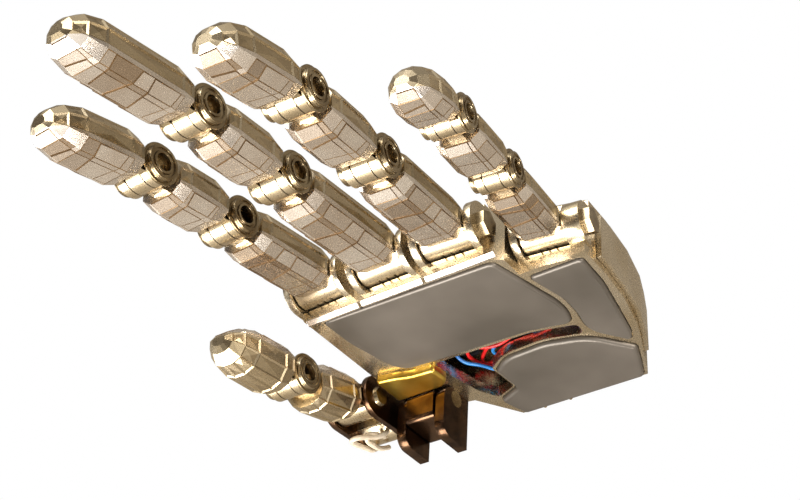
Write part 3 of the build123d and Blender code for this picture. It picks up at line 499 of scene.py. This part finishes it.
def crowned_pad(node):
    """Palm pad whose face rises a little from its rounded edge towards its middle."""
    piece = merged_copy(node, f"{node}_skin")
    low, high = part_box(node)
    face = max((f for f in piece.data.polygons if f.normal.y < -0.99), key=lambda f: f.area)
    face_y = face.center.y
    rim = [piece.data.vertices[i].co.copy() for i in face.vertices]
    work_on(piece)
    bpy.ops.object.mode_set(mode="EDIT")
    for direction, size in (("x", high.x - low.x), ("z", high.z - low.z)):
        normal = Vector((1, 0, 0)) if direction == "x" else Vector((0, 0, 1))
        for step in range(1, int(size / CROWN_CELL)):
            bpy.ops.mesh.select_all(action="SELECT")
            bpy.ops.mesh.bisect(plane_co=low + normal * step * CROWN_CELL, plane_no=normal)
    bpy.ops.object.mode_set(mode="OBJECT")
    for vertex in piece.data.vertices:
        if abs(vertex.co.y - face_y) > 0.01 * MM:
            continue
        inward = min(edge_distance(vertex.co, a, b) for a, b in zip(rim, rim[1:] + rim[:1]))
        vertex.co.y -= CROWN_RISE * math.sin(min(1.0, inward / CROWN_REACH) * math.pi / 2)
    bpy.ops.object.shade_smooth_by_angle(angle=math.radians(38))
    wear(piece, "palm", "palm_skin", SOFT_TOUCH, node)


def edge_distance(point, start, end):
    """Distance of a point from a straight edge."""
    run = end - start
    share = max(0.0, min(1.0, (point - start).dot(run) / run.length_squared))
    return (point - start - run * share).length


for node in ("central_pad", "ulnar_pad", "heel_pad"):
    crowned_pad(node)

# ---------------------------------------------------------------- castings
EDGE_BREAK = 0.12 * MM
SLOTS = {part["node"]: part["material_slot"] for part in RECORD["subparts"]}
for node, piece in frame["nodes"].items():
    if piece.hide_render:
        continue
    slot = SLOTS[node]
    material = NODE_FINISH.get(node, SLOT_FINISH[slot])
    piece.data.materials.clear()
    piece.data.materials.append(material)
    weld = piece.modifiers.new("joined", "WELD")
    weld.merge_threshold = WELD
    edges = piece.modifiers.new("broken_edges", "BEVEL")
    edges.width = EDGE_BREAK
    edges.segments = 2
    edges.limit_method = "ANGLE"
    edges.angle_limit = math.radians(25)

# ---------------------------------------------------------------- room
clear_selection()
low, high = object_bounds()
bpy.ops.mesh.primitive_plane_add(size=6, location=(0, 0, low.z))
floor = bpy.context.object
floor.name = "floor"


FLOOR_GLOW = 1.0      # strength of the even white that the camera sees


def pale_paint():
    """Matt floor paint that reads as an even white sheet and reflects as a dim one."""
    material = finish("painted_floor", "#8E877C", "#827A6E", 900, 2, (0.7, 0.8), 0.01)
    tree = material.node_tree
    sheet = add(tree, "ShaderNodeEmission", Color=(1.0, 1.0, 1.0, 1.0), Strength=FLOOR_GLOW)
    seen = add(tree, "ShaderNodeLightPath")
    both = add(tree, "ShaderNodeMixShader")
    tree.links.new(seen.outputs["Is Camera Ray"], both.inputs["Fac"])
    tree.links.new(tree.nodes["Principled BSDF"].outputs["BSDF"], both.inputs[1])
    tree.links.new(sheet.outputs["Emission"], both.inputs[2])
    tree.links.new(both.outputs["Shader"], tree.nodes["Material Output"].inputs["Surface"])
    return material


floor.data.materials.append(pale_paint())


def softbox(name, place, width, power, tint):
    """Large square light aimed at the middle of the hand."""
    lamp = bpy.data.lights.new(name, "AREA")
    lamp.size = width
    lamp.energy = power
    lamp.color = tint
    piece = bpy.data.objects.new(name, lamp)
    piece.location = place
    piece.rotation_euler = ((low + high) / 2 - Vector(place)).to_track_quat("-Z", "Y").to_euler()
    bpy.context.scene.collection.objects.link(piece)


softbox("key", (-0.35, -0.75, 0.35), 0.5, 11, (1.0, 0.98, 0.95))
softbox("low_fill", (0.05, -0.6, 0.03), 0.25, 4.5, (1.0, 0.97, 0.93))
softbox("side", (0.8, -0.1, 0.3), 0.45, 5, (1.0, 0.95, 0.88))
softbox("top", (-0.1, 0.5, 0.9), 0.6, 8, (1.0, 0.99, 0.97))
softbox("thumb_side", (-0.8, -0.2, 0.15), 0.4, 3, (0.95, 0.97, 1.0))

world = bpy.data.worlds.new("studio")
world.use_nodes = True
bpy.context.scene.world = world
sky = world.node_tree
backdrop = sky.nodes["Background"]
backdrop.inputs["Strength"].default_value = 1.0
aim = add(sky, "ShaderNodeTexCoord")
patches = add(sky, "ShaderNodeTexNoise", [("Vector", aim, "Generated")], Scale=1.6, Detail=1.0)
tones = add(sky, "ShaderNodeValToRGB", [("Fac", patches, "Fac")])
tones.color_ramp.elements[0].position = 0.40
tones.color_ramp.elements[1].position = 0.60
tones.color_ramp.elements[0].color = linear("#3A2F24")
tones.color_ramp.elements[1].color = linear("#EDE8DF")
sky.links.new(tones.outputs["Color"], backdrop.inputs["Color"])
white = add(sky, "ShaderNodeBackground", Color=(1.0, 1.0, 1.0, 1.0), Strength=FLOOR_GLOW)
seen = add(sky, "ShaderNodeLightPath")
both = add(sky, "ShaderNodeMixShader")
sky.links.new(seen.outputs["Is Camera Ray"], both.inputs["Fac"])
sky.links.new(backdrop.outputs["Background"], both.inputs[1])
sky.links.new(white.outputs["Background"], both.inputs[2])
sky.links.new(both.outputs["Shader"], sky.nodes["World Output"].inputs["Surface"])
bpy.context.scene.view_settings.view_transform = "Standard"
